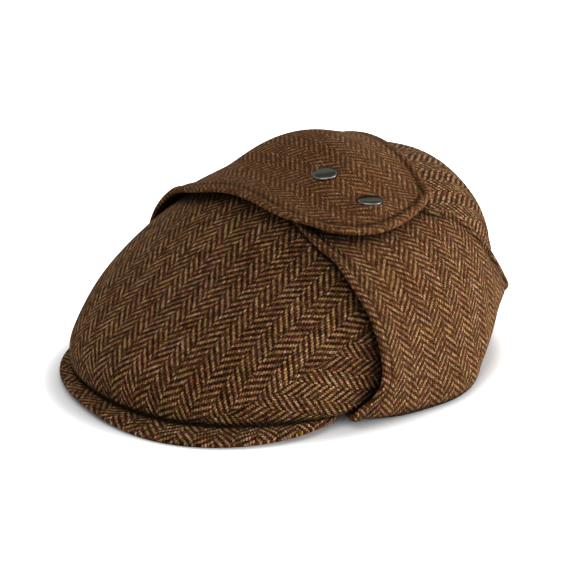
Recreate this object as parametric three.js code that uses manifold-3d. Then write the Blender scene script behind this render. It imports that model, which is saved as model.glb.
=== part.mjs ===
// Herringbone tweed flat cap with two ear flaps folded up and snapped over the crown.
// Millimetres. +Z up, the peak points to -Y, +X is the wearer's left, the cap rests on z = 0.
import * as THREE from 'three';
import Module from 'manifold-3d';

// Cloth and clearances
const SHELL_T = 2.5;        // crown and side panels, cloth with its backing
const FLAP_T = 3.0;         // ear flap, two layers of cloth
const LIE_GAP = 0.7;        // cloth lying on cloth
const SEAM_GAP = 0.3;       // between pieces sewn edge to edge
const FLAP_HEM = 0.9;       // how far a flap's turned edge rounds out

// Crown outline, one row per ring from the rim up to the top.
//   half: half width; mid: y where the ring is widest; front, back: y of its ends
//   zSide, zFront, zBack: heights there; swell: how much the front corners fill out
const RINGS = [
  { half: 102.5, mid: 18, front: -121, back: 91, zSide: 8.5, zFront: 5.2, zBack: 7.0, swell: 0.06 },
  { half: 101.5, mid: 11, front: -120, back: 114.5, zSide: 24.5, zFront: 21.5, zBack: 26, swell: 0.04 },
  { half: 98, mid: 6, front: -105.5, back: 119.5, zSide: 53, zFront: 37.5, zBack: 54, swell: 0.02 },
  { half: 84, mid: 6, front: -81.5, back: 114, zSide: 75.5, zFront: 55.5, zBack: 81, swell: 0 },
  { half: 58, mid: 9, front: -45.5, back: 90, zSide: 92.5, zFront: 82, zBack: 103.5, swell: 0 },
  { half: 33, mid: 14.5, front: -8, back: 43, zSide: 107, zFront: 98.5, zBack: 112.5, swell: 0 },
];
const TOP_Y = 20;
const TOP_Z = 114.4;

// Seam between the top panel and a side panel, as a share of the way from rim to top
const SEAM_START = -58;     // degrees round the rim where the seam leaves it
const SEAM_LEVEL = 0.38;    // level along the side and back
const SEAM_SWEEP = 65;      // degrees over which it climbs to that level
const SEAM_TIP = 0.014;     // level at which a side panel's front tip begins

// Ear flap. Places on the crown are given in disk coordinates: the rim is the unit circle,
// the top is its centre, u runs to the flap's own side and v to the back.
const FLAP_FRONT = [        // front edge from the rim upward: level and degrees
  { level: 0.00, deg: -22.0 },
  { level: 0.06, deg: -18.0 },
  { level: 0.14, deg: -14.8 },
  { level: 0.22, deg: -13.5 },
  { level: 0.30, deg: -14.2 },
  { level: 0.39, deg: -16.2 },
  { level: 0.48, deg: -19.6 },
  { level: 0.56, deg: -23.1 },
];
const FLAP_REAR = [         // rear edge: where a column starts on the rim, where it ends
  { base: 30, deg: 28.2, level: 0.560 },
  { base: 38, deg: 33.2, level: 0.455 },
  { base: 48, deg: 41.0, level: 0.345 },
  { base: 60, deg: 53.0, level: 0.240 },
  { base: 75, deg: 71.0, level: 0.170 },
  { base: 90, deg: 90.0, level: 0.145 },
];
// Strip over the top: front and rear ends of each rung, and how far its middle bows out
const TAB = [               // the right flap's broad end, on top
  { fu: 0.405, fv: -0.173, ru: 0.388, rv: 0.208, bow: 0.050 },
  { fu: 0.200, fv: -0.250, ru: 0.195, rv: 0.214, bow: 0.020 },
  { fu: 0.000, fv: -0.265, ru: 0.000, rv: 0.226, bow: 0.000 },
  { fu: -0.183, fv: -0.240, ru: -0.254, rv: 0.164, bow: -0.030 },
  { fu: -0.341, fv: -0.150, ru: -0.355, rv: 0.141, bow: -0.077 },
];
const TONGUE = [            // the left flap's shorter end, beneath it
  { fu: 0.405, fv: -0.173, ru: 0.388, rv: 0.208, bow: 0.050 },
  { fu: 0.292, fv: -0.196, ru: 0.362, rv: 0.132, bow: 0.020 },
  { fu: 0.180, fv: -0.208, ru: 0.230, rv: 0.100, bow: 0.000 },
  { fu: 0.040, fv: -0.212, ru: 0.070, rv: 0.090, bow: -0.010 },
  { fu: -0.050, fv: -0.155, ru: -0.040, rv: 0.045, bow: -0.050 },
];
const TONGUE_END = { u: 0.07, v: -0.055, r: 0.172 };  // circle round the tongue's end
const BACK_SPLIT = 0.2;     // half the gap between the flaps at the back seam
const RAMP_FROM = 0.20;     // the upper flap starts to climb this far outside the lower one
const RAMP_TO = 0.022;      // and is clear of it here
const FLARE = { deg: 60, width: 14, out: 6.2, rest: 2.2 };    // hem standing off at the back
const BULGE = { deg: 12, width: 26, out: 2.8, level: 0.20 };   // fat fold at the side
const FOLD_LIFT = { high: 4.4, from: -23, to: -8 };           // the fold's front end is off the floor
const EDGE_LIFT = { out: 5.0, width: 0.24, from: 0.02, full: 0.12 };   // free edges stand off the crown
const TIP_LIFTS = 1.2;                      // rungs of the tab over which its tip lifts
const LOWER_LIES = { from: 0.48, to: 0.64 };            // levels where the lower flap's edge lies down
const UPPER_RISES = { low: 0.3, from: 0.48, to: 0.68 }; // the upper one lies closer up to these levels
const FOLD_UP = 7;          // height of the cloth inside the rim, above the rim's edge
const FOLD_PRESS = 0.6;     // how much of the fold is pressed flat by the floor

// Peak
const PEAK_ENDS = [-155.6, -24.4];          // degrees round the rim
const PEAK_OVER = 8.5;                      // beyond the crown's front edge
const PEAK_SKEW = 10.4;                     // further out on the left
const PEAK_TAPER = 15.0;                    // less at its two ends
const PEAK_RISE = 4.0;                      // its ends curve up to the rim
const PEAK_NOSE = { high: 2.2, from: 62, to: 95 };   // its front and right edge is off the floor
const PEAK_EDGE = 3.3;                      // thickness at its rim
const PEAK_DEPTH = 30;                      // under the crown at the front centre
const PEAK_END_DEPTH = 20;                  // and at its two ends
const PEAK_UNDER = 0.8;                     // its upper side below the crown's edge
const PEAK_T = 4.0;
const PEAK_FLAT = 3.0;                      // strip along its edge that lies on the floor

// Snaps, placed on the tab by rung and by share from its front to its rear edge
const SNAPS = [
  { name: 'snap_inner', at: 2.568, across: 0.419 },
  { name: 'snap_outer', at: 3.279, across: 0.585 },
];
const SNAP_R = 6.8;
const SNAP_RISE = 2.0;
const POST_R = 1.8;
const POST_CLEAR = 0.4;

const rad = THREE.MathUtils.degToRad;
const lerp = THREE.MathUtils.lerp;
const clamp = THREE.MathUtils.clamp;
const smooth = (x, a, b) => THREE.MathUtils.smoothstep(x, a, b);
const bump = (x, centre, width) => Math.exp(-(((x - centre) / width) ** 2));

function spline(p0, p1, p2, p3, f) {
  return 0.5 * (2 * p1 + (p2 - p0) * f + (2 * p0 - 5 * p1 + 4 * p2 - p3) * f * f
    + (3 * p1 - p0 - 3 * p2 + p3) * f * f * f);
}

// A named column of a table read at a fractional row
function column(table, key, place) {
  const n = table.length - 1;
  const i = clamp(Math.floor(place), 0, n - 1);
  const at = (k) => {
    if (k < 0) return 2 * table[0][key] - table[1][key];
    if (k > n) return 2 * table[n][key] - table[n - 1][key];
    return table[k][key];
  };
  return spline(at(i - 1), at(i), at(i + 1), at(i + 2), place - i);
}

// A table read by the value of one of its own columns
function lookup(table, by, key, value) {
  const n = table.length - 1;
  let i = 0;
  while (i < n - 1 && value > table[i + 1][by]) i += 1;
  const f = (value - table[i][by]) / (table[i + 1][by] - table[i][by]);
  return column(table, key, i + clamp(f, 0, 1));
}

const TOP_ROW = {
  half: 0, mid: TOP_Y, front: TOP_Y, back: TOP_Y, zSide: TOP_Z, zFront: TOP_Z, zBack: TOP_Z, swell: 0,
};
const last = RINGS[RINGS.length - 1];
const PAST_TOP = {             // the ring met on the way down the other side keeps the top round
  ...last, half: -last.half, front: last.back, back: last.front, zFront: last.zBack, zBack: last.zFront,
};
const ALL_RINGS = [...RINGS, TOP_ROW, PAST_TOP];

// Point on the crown's outer face: level 0 at the rim, 1 at the top; angle 0 at +X, 90 at the back
function crown(level, angle) {
  const place = clamp(level, 0, 1) * RINGS.length;
  const r = {};
  for (const key of Object.keys(TOP_ROW)) r[key] = column(ALL_RINGS, key, place);
  const s = Math.sin(angle);
  const c = Math.cos(angle);
  const g = s < 0 ? 1 + r.swell * 4 * s * s * c * c : 1;
  const y = s < 0 ? r.mid + (r.mid - r.front) * s * g : r.mid + (r.back - r.mid) * s;
  const z = r.zSide + ((r.zBack - r.zFront) / 2) * s + ((r.zBack + r.zFront) / 2 - r.zSide) * s * s;
  return new THREE.Vector3(r.half * c * g, y, z);
}

function crownNormal(level, angle) {
  const h = 1e-3;
  if (level > 0.99) {
    const across = crown(0.985, 0).sub(crown(0.985, Math.PI));
    return across.cross(crown(0.985, Math.PI / 2).sub(crown(0.985, -Math.PI / 2))).normalize();
  }
  const up = crown(level + h, angle).sub(crown(Math.max(level - h, 0), angle));
  const round = crown(level, angle + h).sub(crown(level, angle - h));
  return round.cross(up).normalize();
}

// Direction in which a flap is stacked on the crown: level at the rim, square to it higher up
function stackDir(level, angle) {
  const n = crownNormal(level, angle);
  const flat = new THREE.Vector3(n.x, n.y, 0).normalize();
  return flat.lerp(n, smooth(level, 0, 0.16)).normalize();
}

const offsetCrown = (level, angle, d) => crown(level, angle).addScaledVector(crownNormal(level, angle), d);

// Closed sheet of cloth from faces and the two sides' points; free edges can round out by hem(k)
function sheetSolid(faces, outer, inner, hem = () => 0) {
  const n = outer.length;
  const points = [...outer, ...inner];
  const tris = [];
  const edges = new Map();
  for (const f of faces) {
    for (let k = 1; k + 1 < f.length; k += 1) {
      tris.push([f[0], f[k], f[k + 1]], [n + f[0], n + f[k + 1], n + f[k]]);
    }
    f.forEach((a, k) => {
      const b = f[(k + 1) % f.length];
      if (edges.has(`${b}_${a}`)) edges.delete(`${b}_${a}`);
      else edges.set(`${a}_${b}`, [a, b]);
    });
  }
  const outward = new Map();
  for (const [a, b] of edges.values()) {
    const along = outer[b].clone().sub(outer[a]).normalize();
    for (const k of [a, b]) {
      const across = along.clone().cross(outer[k].clone().sub(inner[k])).normalize();
      outward.set(k, (outward.get(k) ?? new THREE.Vector3()).add(across));
    }
  }
  const rounded = new Map();
  for (const [k, dir] of outward) {
    const h = hem(k);
    if (h <= 0) continue;
    rounded.set(k, points.length);
    points.push(outer[k].clone().add(inner[k]).multiplyScalar(0.5).addScaledVector(dir.normalize(), h));
  }
  const strip = (a, b, c, d) => tris.push([a, b, c], [a, c, d]);
  for (const [a, b] of edges.values()) {
    const ma = rounded.get(a);
    const mb = rounded.get(b);
    if (ma !== undefined && mb !== undefined) {
      strip(b, a, ma, mb);
      strip(mb, ma, n + a, n + b);
    } else if (ma !== undefined) {
      tris.push([b, a, ma], [b, ma, n + b], [n + b, ma, n + a]);
    } else if (mb !== undefined) {
      tris.push([b, a, mb], [a, n + a, mb], [mb, n + a, n + b]);
    } else {
      strip(b, a, n + a, n + b);
    }
  }
  return { points, tris };
}

function geometryOf({ points, tris }, flip = false) {
  const g = new THREE.BufferGeometry();
  g.setAttribute('position', new THREE.Float32BufferAttribute(points.flatMap((p) => [p.x, p.y, p.z]), 3));
  g.setIndex(tris.flatMap((t) => (flip ? [t[0], t[2], t[1]] : t)));
  g.computeVertexNormals();
  return g;
}

function seamLevel(deg) {
  const share = clamp((deg - SEAM_START) / SEAM_SWEEP, 0, 1);
  return SEAM_LEVEL * Math.sin(share * Math.PI / 2);
}
// The right side mirrors the left
const sideDeg = (deg) => Math.asin(Math.sin(rad(deg))) * 180 / Math.PI;

// Top panel: the whole crown above the two side seams, down to the rim across the front
function crownTop() {
  const COLS = 64;
  const ROWS = 14;
  const outer = [];
  const inner = [];
  const faces = [];
  for (let j = 0; j < ROWS; j += 1) {
    for (let i = 0; i < COLS; i += 1) {
      const deg = -90 + (360 * i) / COLS;
      const level = lerp(seamLevel(sideDeg(deg)), 1, (j / ROWS) ** 0.93);
      outer.push(crown(level, rad(deg)));
      inner.push(offsetCrown(level, rad(deg), -SHELL_T));
    }
  }
  outer.push(crown(1, 0));
  inner.push(offsetCrown(1, 0, -SHELL_T));
  const id = (i, j) => j * COLS + (i % COLS);
  for (let j = 0; j + 1 < ROWS; j += 1) {
    for (let i = 0; i < COLS; i += 1) faces.push([id(i, j), id(i + 1, j), id(i + 1, j + 1), id(i, j + 1)]);
  }
  for (let i = 0; i < COLS; i += 1) faces.push([id(i, ROWS - 1), id(i + 1, ROWS - 1), ROWS * COLS]);
  return sheetSolid(faces, outer, inner);
}

// Side panel from its front tip round to the back seam
function sidePanel() {
  const COLS = 24;
  const ROWS = 6;
  const tip = SEAM_START + (SEAM_SWEEP * 2 / Math.PI) * Math.asin(SEAM_TIP / SEAM_LEVEL);
  const split = (BACK_SPLIT / RINGS[0].half) * 180 / Math.PI;
  const gap = SEAM_GAP / 160;
  const outer = [];
  const inner = [];
  const faces = [];
  for (let i = 0; i <= COLS; i += 1) {
    const deg = lerp(tip, 90 - split, i / COLS);
    for (let j = 0; j <= ROWS; j += 1) {
      const level = (seamLevel(deg) - gap) * (j / ROWS);
      outer.push(crown(level, rad(deg)));
      inner.push(offsetCrown(level, rad(deg), -SHELL_T));
    }
  }
  const id = (i, j) => i * (ROWS + 1) + j;
  for (let i = 0; i < COLS; i += 1) {
    for (let j = 0; j < ROWS; j += 1) faces.push([id(i, j), id(i + 1, j), id(i + 1, j + 1), id(i, j + 1)]);
  }
  return sheetSolid(faces, outer, inner);
}

// How far a flap stands off the crown at a place on it; share is the height between rim and rear edge
function standOff(level, deg, share, over) {
  const u = (1 - level) * Math.cos(rad(deg));
  const v = (1 - level) * Math.sin(rad(deg));
  let d = LIE_GAP;
  d += BULGE.out * bump(deg, BULGE.deg, BULGE.width) * (1 - smooth(level, 0.02, BULGE.level));
  const flare = FLARE.out * bump(deg, FLARE.deg, FLARE.width) + FLARE.rest * smooth(deg, FLARE.deg, 85);
  d += flare * share ** 2 * smooth(deg, 36, 54);
  if (over) {
    const outside = Math.hypot(Math.max(TONGUE_END.u + u, 0), v - TONGUE_END.v) - TONGUE_END.r;
    d += (FLAP_T + LIE_GAP) * (1 - smooth(outside, RAMP_TO, RAMP_FROM));
  }
  return d;
}

// How far a flap's free edge lifts: across is 0 at its front edge, end is 1 at the tip of the upper flap
function edgeLift(level, across, end, over) {
  const free = Math.max(1 - smooth(across, 0, EDGE_LIFT.width), end);
  const upper = lerp(UPPER_RISES.low, 1, smooth(level, UPPER_RISES.from, UPPER_RISES.to));
  const lower = 1 - smooth(level, LOWER_LIES.from, LOWER_LIES.to);
  return EDGE_LIFT.out * free * smooth(level, EDGE_LIFT.from, EDGE_LIFT.full) * (over ? upper : lower);
}

// Outer and inner point of a flap stacked on the crown
function stacked(level, deg, share, lift, over) {
  const dir = stackDir(level, rad(deg));
  const base = crown(level, rad(deg));
  const d = standOff(level, deg, share, over) + lift;
  return [base.clone().addScaledVector(dir, d + FLAP_T), base.clone().addScaledVector(dir, d)];
}

// Outer and inner point of a flap's strip, at a fractional rung and a share across it
function stripPoint(at, across, over) {
  const strip = over ? TAB : TONGUE;
  const ends = strip.length - 1;
  const bow = column(strip, 'bow', at) * 4 * across * (1 - across);
  const u = lerp(column(strip, 'fu', at), column(strip, 'ru', at), across) + bow;
  const v = lerp(column(strip, 'fv', at), column(strip, 'rv', at), across);
  const level = 1 - Math.hypot(u, v);
  const end = over ? smooth(at, ends - TIP_LIFTS, ends) : 0;
  return stacked(level, Math.atan2(v, u) * 180 / Math.PI, 0, edgeLift(level, across, end, over), over);
}

// Ear flap for the +X side: a fold round the rim, a band up the side and back, a strip over the top
function earFlap(over) {
  const FOLD = [180, 145, 110, 90, 70, 35];      // degrees round the fold, from inside to outside
  const STRIP_COLS = 10;
  const REAR_COLS = 12;
  const LOW_ROWS = 10;
  const TOP_ROWS = over ? 14 : 9;
  const cols = STRIP_COLS + REAR_COLS;
  const split = (BACK_SPLIT / RINGS[0].half) * 180 / Math.PI;
  const outer = [];
  const inner = [];
  const index = new Map();
  const put = (i, j, o, n) => {
    index.set(`${i}_${j}`, outer.length);
    outer.push(o);
    inner.push(n);
  };
  for (let i = 0; i <= cols; i += 1) {
    const rear = i > STRIP_COLS;
    const place = rear ? ((i - STRIP_COLS) / REAR_COLS) * (FLAP_REAR.length - 1) : 0;
    const topLevel = column(FLAP_REAR, 'level', place);
    const across = i / STRIP_COLS;
    const baseDeg = rear
      ? Math.min(column(FLAP_REAR, 'base', place), 90 - split)
      : lerp(FLAP_FRONT[0].deg, FLAP_REAR[0].base, across);
    // Fold round the rim, from the inside under the edge to the outside
    const rim = crown(0, rad(baseDeg));
    const out = stackDir(0, rad(baseDeg));
    const off = standOff(0, baseDeg, 0, over);
    const lift = FOLD_LIFT.high * (1 - smooth(baseDeg, FOLD_LIFT.from, FOLD_LIFT.to));
    const fold = (deg, thick) => {
      const floor = lift + FLAP_T - thick;
      const wide = SHELL_T / 2 + off + thick;
      const near = SHELL_T / 2 + LIE_GAP + thick;
      const reach = Math.cos(rad(deg)) > 0 ? wide : near;
      const drop = (rim.z - floor + (thick > 0 ? FOLD_PRESS : 0)) * Math.sin(rad(deg));
      const p = rim.clone().addScaledVector(out, reach * Math.cos(rad(deg)) - SHELL_T / 2);
      p.z = Math.max(rim.z - drop, floor);
      return p;
    };
    const raise = new THREE.Vector3(0, 0, FOLD_UP);
    put(i, 0, fold(180, FLAP_T).add(raise), fold(180, 0).add(raise));
    FOLD.forEach((deg, k) => put(i, 1 + k, fold(deg, FLAP_T), fold(deg, 0)));
    // Band up the side and back
    for (let j = 0; j <= LOW_ROWS; j += 1) {
      const share = j / LOW_ROWS;
      const level = topLevel * share;
      const frontDeg = lookup(FLAP_FRONT, 'level', 'deg', level);
      const middleDeg = lerp(FLAP_REAR[0].base, FLAP_REAR[0].deg, share);
      const deg = rear
        ? Math.min(lerp(baseDeg, column(FLAP_REAR, 'deg', place), share), 90 - split)
        : lerp(frontDeg, middleDeg, across);
      const lift = rear ? 0 : edgeLift(level, across, 0, over);
      put(i, 1 + FOLD.length + j, ...stacked(level, deg, rear ? share : 0, lift, over));
    }
    // Strip over the top, with its rounded end
    if (rear) continue;
    for (let j = 1; j <= TOP_ROWS; j += 1) {
      const at = (j / TOP_ROWS) * ((over ? TAB : TONGUE).length - 1);
      put(i, 1 + FOLD.length + LOW_ROWS + j, ...stripPoint(at, across, over));
    }
  }
  const faces = [];
  const lowTop = 1 + FOLD.length + LOW_ROWS;
  const id = (i, j) => index.get(`${i}_${j}`);
  for (let i = 0; i < cols; i += 1) {
    const rows = i < STRIP_COLS ? lowTop + TOP_ROWS : lowTop;
    for (let j = 0; j < rows; j += 1) faces.push([id(i, j), id(i + 1, j), id(i + 1, j + 1), id(i, j + 1)]);
  }
  return sheetSolid(faces, outer, inner, (k) => (outer[k].x < 1 && outer[k].y > 60 ? 0 : FLAP_HEM));
}

// Peak: a stiff crescent under the crown's front edge, its rim lying on the floor
function peak() {
  const COLS = 36;
  const outer = [];
  const inner = [];
  const faces = [];
  let rows = 0;
  for (let i = 0; i <= COLS; i += 1) {
    const share = i / COLS;
    const deg = lerp(PEAK_ENDS[1], PEAK_ENDS[0], share);
    const arch = Math.sin(share * Math.PI);
    const rim = crown(0, rad(deg));
    const out = stackDir(0, rad(deg));
    const over = PEAK_OVER + PEAK_SKEW * Math.cos(rad(deg)) * arch ** 0.5 - PEAK_TAPER * (1 - arch) ** 2.6;
    const nose = PEAK_NOSE.high * smooth(-deg, PEAK_NOSE.from, PEAK_NOSE.to);
    const lift = PEAK_RISE * (1 - arch) ** 1.8 + nose;
    const depth = PEAK_END_DEPTH + (PEAK_DEPTH - PEAK_END_DEPTH) * arch ** 0.8;
    const under = rim.z - PEAK_UNDER;
    const inwards = (share) => lerp(over - PEAK_FLAT, -depth, share);
    const section = [              // distance beyond the crown's edge, upper and lower heights
      [over, Math.min(PEAK_EDGE + lift, under), lift],
      [over - PEAK_FLAT, Math.min(PEAK_T + 0.7 + lift, under), lift],
      [inwards(0.18), under - 0.3, under - PEAK_T],
      [inwards(0.4), under, under - PEAK_T],
      [inwards(0.7), under, under - PEAK_T],
      [inwards(1), under, under - PEAK_T],
    ];
    rows = section.length;
    for (const [a, top, bottom] of section) {
      const p = rim.clone().addScaledVector(out, a);
      outer.push(p.clone().setZ(top));
      inner.push(p.clone().setZ(Math.max(bottom, 0)));
    }
  }
  for (let i = 0; i < COLS; i += 1) {
    for (let j = 0; j + 1 < rows; j += 1) {
      const a = i * rows + j;
      faces.push([a, a + 1, a + rows + 1, a + rows]);
    }
  }
  return sheetSolid(faces, outer, inner, () => 0.9);
}

// Snap: a domed cap with a turned rim and a post through the cloth
function snapGeometry() {
  const profile = [
    [0, -FLAP_T + 0.4], [POST_R, -FLAP_T + 0.4], [POST_R, 0.3], [SNAP_R - 0.5, 0.3],
    [SNAP_R, 0.35 * SNAP_RISE], [SNAP_R - 0.1, 0.5 * SNAP_RISE], [SNAP_R * 0.82, 0.76 * SNAP_RISE],
    [SNAP_R * 0.55, 0.92 * SNAP_RISE], [SNAP_R * 0.28, 0.98 * SNAP_RISE], [0, SNAP_RISE],
  ].map(([r, z]) => new THREE.Vector2(r, z));
  return new THREE.LatheGeometry(profile, 28).rotateX(Math.PI / 2);
}

// A snap's seat on the tab, which lies on the mirrored flap, and the way that the cloth faces there
function snapPose({ at, across }) {
  const h = 0.02;
  const seat = (a, c) => stripPoint(a, c, true)[0].multiply(new THREE.Vector3(-1, 1, 1));
  const along = seat(at + h, across).sub(seat(at - h, across));
  const dir = along.cross(seat(at, across + h).sub(seat(at, across - h))).normalize();
  return { at: seat(at, across), dir };
}

const wasm = await Module();
wasm.setup();
const { Manifold, Mesh } = wasm;

function toManifold(geometry) {
  const pos = geometry.getAttribute('position');
  const ids = new Map();
  const verts = [];
  const remap = [];
  for (let i = 0; i < pos.count; i += 1) {
    const p = [pos.getX(i), pos.getY(i), pos.getZ(i)];
    const key = p.map((c) => c.toFixed(4)).join(' ');
    if (!ids.has(key)) {
      ids.set(key, verts.length / 3);
      verts.push(...p);
    }
    remap.push(ids.get(key));
  }
  const tris = [];
  const index = geometry.index.array;
  for (let k = 0; k < index.length; k += 3) {
    const t = [remap[index[k]], remap[index[k + 1]], remap[index[k + 2]]];
    if (t[0] !== t[1] && t[1] !== t[2] && t[2] !== t[0]) tris.push(...t);
  }
  const vertProperties = new Float32Array(verts);
  return new Manifold(new Mesh({ numProp: 3, vertProperties, triVerts: new Uint32Array(tris) }));
}

function fromManifold(solid) {
  const m = solid.getMesh();
  const g = new THREE.BufferGeometry();
  g.setAttribute('position', new THREE.Float32BufferAttribute(Array.from(m.vertProperties), 3));
  g.setIndex(Array.from(m.triVerts));
  g.computeVertexNormals();
  return g;
}

const cloth = new THREE.MeshStandardMaterial({
  name: 'tweed', color: 0x5b3f2b, roughness: 0.95, metalness: 0,
});
const metal = new THREE.MeshStandardMaterial({
  name: 'snap_metal', color: 0x3a3b3d, roughness: 0.35, metalness: 1,
});

const cap = new THREE.Group();
cap.name = 'flat_cap';
const add = (name, geometry, material) => {
  const mesh = new THREE.Mesh(geometry, material);
  mesh.name = name;
  cap.add(mesh);
  return mesh;
};
const mirror = ({ points, tris }) => {
  const mirrored = points.map((p) => new THREE.Vector3(-p.x, p.y, p.z));
  return geometryOf({ points: mirrored, tris }, true);
};

add('crown_top', geometryOf(crownTop()), cloth);
add('side_panel_left', geometryOf(sidePanel()), cloth);
add('side_panel_right', mirror(sidePanel()), cloth);
add('peak', geometryOf(peak()), cloth);
add('earflap_left', geometryOf(earFlap(false)), cloth);

let upper = toManifold(mirror(earFlap(true)));
const snaps = [];
for (const snap of SNAPS) {
  const { at, dir } = snapPose(snap);
  const turn = new THREE.Quaternion().setFromUnitVectors(new THREE.Vector3(0, 0, 1), dir);
  const place = new THREE.Matrix4().compose(at, turn, new THREE.Vector3(1, 1, 1));
  snaps.push([snap.name, snapGeometry().applyMatrix4(place)]);
  const holeR = POST_R + POST_CLEAR;
  const hole = new THREE.CylinderGeometry(holeR, holeR, 4 * FLAP_T, 24).rotateX(Math.PI / 2);
  upper = upper.subtract(toManifold(hole.applyMatrix4(place)));
}
add('earflap_right', fromManifold(upper), cloth);
for (const [name, geometry] of snaps) add(name, fromManifold(toManifold(geometry)), metal);

// The cap's box is centred on the origin
const box = new THREE.Box3().setFromObject(cap);
const middle = box.getCenter(new THREE.Vector3());
for (const mesh of cap.children) mesh.geometry.translate(-middle.x, -middle.y, -box.min.z);

export default cap;
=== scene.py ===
# Looks of a herringbone tweed flat cap whose two ear flaps are folded up and snapped over the crown.
import math

import bmesh
import bpy
from mathutils import Matrix, Vector, noise
from mathutils.kdtree import KDTree


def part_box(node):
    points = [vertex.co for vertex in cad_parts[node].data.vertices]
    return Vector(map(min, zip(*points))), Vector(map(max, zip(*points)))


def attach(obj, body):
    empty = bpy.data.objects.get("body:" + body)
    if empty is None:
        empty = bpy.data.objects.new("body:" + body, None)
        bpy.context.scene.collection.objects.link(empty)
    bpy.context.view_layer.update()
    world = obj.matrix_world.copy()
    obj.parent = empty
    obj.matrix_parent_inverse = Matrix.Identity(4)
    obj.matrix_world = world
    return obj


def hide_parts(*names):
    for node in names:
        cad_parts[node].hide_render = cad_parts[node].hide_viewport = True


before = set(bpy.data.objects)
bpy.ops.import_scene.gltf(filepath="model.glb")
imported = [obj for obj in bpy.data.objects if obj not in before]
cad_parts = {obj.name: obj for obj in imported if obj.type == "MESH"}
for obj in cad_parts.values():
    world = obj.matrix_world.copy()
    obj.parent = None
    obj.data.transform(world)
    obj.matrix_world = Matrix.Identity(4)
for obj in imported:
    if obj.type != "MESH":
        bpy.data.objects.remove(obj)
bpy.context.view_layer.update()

MM = 0.001
CLOTH_MAP = "cloth"         # UV map: the flat cut in metres, the warp along V

# Cloth thicknesses and clearances, in millimetres as in the solids
SHELL_T = 2.5
FLAP_T = 3.0
LIE_GAP = 0.7
SEAM_GAP = 0.3

# Crown rings from the rim up, as in the solids: half width, y where widest, y of front and back,
# heights at side, front and back, and how much the front corners fill out
RINGS = (
    (102.5, 18.0, -121.0, 91.0, 8.5, 5.2, 7.0, 0.06),
    (101.5, 11.0, -120.0, 114.5, 24.5, 21.5, 26.0, 0.04),
    (98.0, 6.0, -105.5, 119.5, 53.0, 37.5, 54.0, 0.02),
    (84.0, 6.0, -81.5, 114.0, 75.5, 55.5, 81.0, 0.0),
    (58.0, 9.0, -45.5, 90.0, 92.5, 82.0, 103.5, 0.0),
    (33.0, 14.5, -8.0, 43.0, 107.0, 98.5, 112.5, 0.0),
)
TOP_Y = 20.0
TOP_Z = 114.4
TOP_FROM, NEAR_TOP = 0.99, 0.985    # above the first level the normal is the top's, taken at the second

# Seam between top and side panels, as a level between rim and top
SEAM_START = -58.0
SEAM_LEVEL = 0.38
SEAM_SWEEP = 65.0
SEAM_TIP = 0.014
LEVEL_RUN = 160.0       # millimetres of cloth to one level

# Soft sag of the worn crown: its depth, its waves, the slice of noise it takes, and where it fades out
SAG, SAG_WAVES, SAG_SLICE = 1.1, 3.2, 0.3
SAG_FADES = (1.0, 0.8)

# The crown's lowest edge is drawn in under a round
EDGE_TUCK = 2.4
EDGE_ROUND = 0.04

# Ear flap: front edge (level, degrees), rear edge (degrees at the rim, degrees, level)
FLAP_FRONT = (
    (0.00, -22.0), (0.06, -18.0), (0.14, -14.8), (0.22, -13.5),
    (0.30, -14.2), (0.39, -16.2), (0.48, -19.6), (0.56, -23.1),
)
FLAP_REAR = (
    (30.0, 28.2, 0.560), (38.0, 33.2, 0.455), (48.0, 41.0, 0.345),
    (60.0, 53.0, 0.240), (75.0, 71.0, 0.170), (90.0, 90.0, 0.145),
)
# Rungs of the strip over the top: front end, rear end and bow, in disk coordinates of the crown
TAB = (
    (0.405, -0.173, 0.388, 0.208, 0.050),
    (0.200, -0.250, 0.195, 0.214, 0.020),
    (0.000, -0.265, 0.000, 0.226, 0.000),
    (-0.183, -0.240, -0.254, 0.164, -0.030),
    (-0.341, -0.150, -0.355, 0.141, -0.077),
)
TONGUE = (
    (0.405, -0.173, 0.388, 0.208, 0.050),
    (0.292, -0.196, 0.362, 0.132, 0.020),
    (0.180, -0.208, 0.230, 0.100, 0.000),
    (0.040, -0.212, 0.070, 0.090, -0.010),
    (-0.050, -0.155, -0.040, 0.045, -0.050),
)
TONGUE_U, TONGUE_V, TONGUE_R = 0.07, -0.055, 0.172
RAMP_FROM, RAMP_TO = 0.20, 0.022
BACK_SPLIT = 0.2
STACK_TURNS = 0.16      # level from which a flap lies square to the crown
FLARE_DEG, FLARE_WIDTH, FLARE_OUT = 60.0, 14.0, 6.2
FLARE_REST, FLARE_REST_TO, FLARE_STARTS = 2.2, 85.0, (36.0, 54.0)
BULGE_DEG, BULGE_WIDTH, BULGE_OUT, BULGE_FADES = 12.0, 26.0, 2.8, (0.02, 0.20)
FOLD_LIFT, FOLD_LIFT_FROM, FOLD_LIFT_TO = 4.4, -23.0, -8.0
EDGE_LIFT, LIFT_WIDTH, LIFT_FROM, LIFT_FULL = 5.0, 0.24, 0.0, 0.18
TIP_LIFTS = 1.2
LOWER_LIES = (0.48, 0.64)
UPPER_LOW, UPPER_RISES = 0.05, (0.40, 0.66)
FOLD_UP = 7.0
FOLD_PRESS = 0.6

# Peak
PEAK_ENDS = (-24.4, -155.6)
PEAK_OVER, PEAK_SKEW, PEAK_TAPER, PEAK_RISE = 8.5, 10.4, 15.0, 4.0
PEAK_DEPTH, PEAK_END_DEPTH, PEAK_T, PEAK_FLAT = 30.0, 20.0, 4.0, 3.0
PEAK_NOSE, NOSE_FROM, NOSE_TO = 2.2, 62.0, 95.0
PEAK_EDGE, PEAK_EDGE_RISE, PEAK_DIP, PEAK_UNDER = 2.6, 1.4, 0.3, 0.8
SKEW_POWER, TAPER_POWER, RISE_POWER, DEPTH_POWER = 0.5, 2.6, 1.8, 0.8

# Powers that crowd a sheet's rows towards its first one
TOP_CROWDS, PEAK_CROWDS = 1.25, 1.5

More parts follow.
